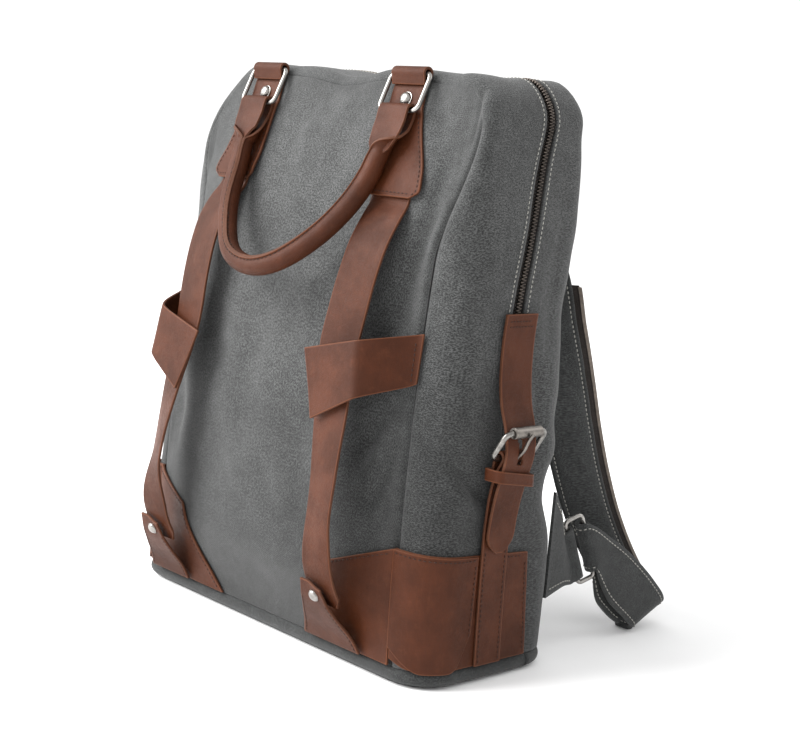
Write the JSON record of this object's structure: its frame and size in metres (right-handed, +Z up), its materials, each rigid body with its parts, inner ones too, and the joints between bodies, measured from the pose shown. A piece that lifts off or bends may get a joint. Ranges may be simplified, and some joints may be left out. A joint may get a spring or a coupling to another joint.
{
  "type": "travel backpack",
  "caption": "Travel backpack in washed canvas with leather straps, rolled leather handle, side buckles and a zip over the top.",
  "frame": {"origin": "centre of the base, on the surface the bag stands on", "axes": "+Z up, -Y towards the front panel, +X towards the bag's right side seen from the front"},
  "size_m": [0.3934, 0.3308, 0.4194],
  "materials": {
    "canvas": "washed heavy canvas",
    "strap_canvas": "dark washed canvas",
    "lining": "plain lining cloth",
    "leather": "waxed, slightly worn",
    "nickel": "polished",
    "gunmetal": "matt antique",
    "zip_tape": "woven tape",
    "zip_metal": "antique, dull"
  },
  "bodies": {
    "bag": {"adjuster_ring_left": "nickel", "adjuster_ring_right": "nickel", "anchor_tab_left": "strap_canvas", "anchor_tab_right": "strap_canvas", "back_foam_pad": "lining", "back_gusset": "canvas", "back_panel": "canvas", "base_board": "lining", "base_panel": "canvas", "base_piping": "canvas", "corner_patch_left": "leather", "corner_patch_right": "leather", "front_gusset": "canvas", "front_panel": "canvas", "front_strap_left": "leather", "front_strap_right": "leather", "inner_sleeve": "lining", "patch_stud_left": "nickel", "patch_stud_right": "nickel", "ring_patch_left": "leather", "ring_patch_right": "leather", "shoulder_strap_left": "strap_canvas", "shoulder_strap_right": "strap_canvas", "side_chape_left": "leather", "side_chape_right": "leather", "side_leather_left": "leather", "side_leather_right": "leather", "side_strap_left": "leather", "side_strap_right": "leather", "strap_head_patch": "leather", "strap_loop_left": "strap_canvas", "strap_loop_right": "strap_canvas", "strap_tab_left": "leather", "strap_tab_right": "leather", "strap_wing_left": "leather", "strap_wing_right": "leather", "strap_zip_left": "zip_tape", "strap_zip_right": "zip_tape", "tab_rivet_left": "nickel", "tab_rivet_right": "nickel", "zip_tape_back": "zip_tape", "zip_tape_front": "zip_tape", "zip_teeth": "zip_metal"},
    "rings": {"handle_ring_left": "nickel", "handle_ring_right": "nickel"},
    "handle": {"handle": "leather", "handle_end_left": "leather", "handle_end_right": "leather"},
    "zip_slider": {"zip_slider": "gunmetal"},
    "zip_pull": {"zip_pull": "gunmetal"},
    "keeper_left": {"strap_keeper_left": "leather"},
    "buckle_left": {"buckle_frame_left": "nickel"},
    "roller_left": {"buckle_roller_left": "gunmetal"},
    "prong_left": {"buckle_prong_left": "gunmetal"},
    "keeper_right": {"strap_keeper_right": "leather"},
    "buckle_right": {"buckle_frame_right": "nickel"},
    "roller_right": {"buckle_roller_right": "gunmetal"},
    "prong_right": {"buckle_prong_right": "gunmetal"}
  },
  "joints": [
    {"name": "ring_swing", "type": "hinge", "parent": "bag", "child": "rings", "pos_m": [0, -0.0275, 0.415], "axis": [-1, 0, 0], "range_deg": [0, 110]},
    {"name": "handle_swing", "type": "hinge", "parent": "rings", "child": "handle", "pos_m": [0, -0.0392, 0.389], "axis": [-1, 0, 0], "range_deg": [0, 110]},
    {"name": "zip_travel", "type": "slide", "parent": "bag", "child": "zip_slider", "axis": [0.0364, 0.1631, 0.9859], "range_m": [0, 0.035]},
    {"name": "zip_pull_swing", "type": "hinge", "parent": "zip_slider", "child": "zip_pull", "pos_m": [-0.1682, 0.01254, 0.2821], "axis": [0, 0.9866, -0.1632], "range_deg": [0, 100]},
    {"name": "buckle_swing_left", "type": "hinge", "parent": "bag", "child": "buckle_left", "pos_m": [-0.17841, -0.0016, 0.161], "axis": [0, -1, 0], "range_deg": [0, 12]},
    {"name": "prong_swing_left", "type": "hinge", "parent": "buckle_left", "child": "prong_left", "pos_m": [-0.17841, -0.0016, 0.161], "axis": [0, -1, 0], "range_deg": [0, 20]},
    {"name": "roller_spin_left", "type": "hinge", "parent": "buckle_left", "child": "roller_left", "pos_m": [-0.18921, 0, 0.18], "axis": [0, 1, 0], "continuous": true},
    {"name": "keeper_slide_left", "type": "slide", "parent": "bag", "child": "keeper_left", "axis": [-0.1505, 0.0633, 0.9866], "range_m": [-0.012, 0]},
    {"name": "buckle_swing_right", "type": "hinge", "parent": "bag", "child": "buckle_right", "pos_m": [0.17841, -0.0016, 0.161], "axis": [0, 1, 0], "range_deg": [0, 12]},
    {"name": "prong_swing_right", "type": "hinge", "parent": "buckle_right", "child": "prong_right", "pos_m": [0.17841, -0.0016, 0.161], "axis": [0, 1, 0], "range_deg": [0, 20]},
    {"name": "roller_spin_right", "type": "hinge", "parent": "buckle_right", "child": "roller_right", "pos_m": [0.18921, 0, 0.18], "axis": [0, 1, 0], "continuous": true},
    {"name": "keeper_slide_right", "type": "slide", "parent": "bag", "child": "keeper_right", "axis": [0.1505, 0.0633, 0.9866], "range_m": [-0.012, 0]}
  ]
}
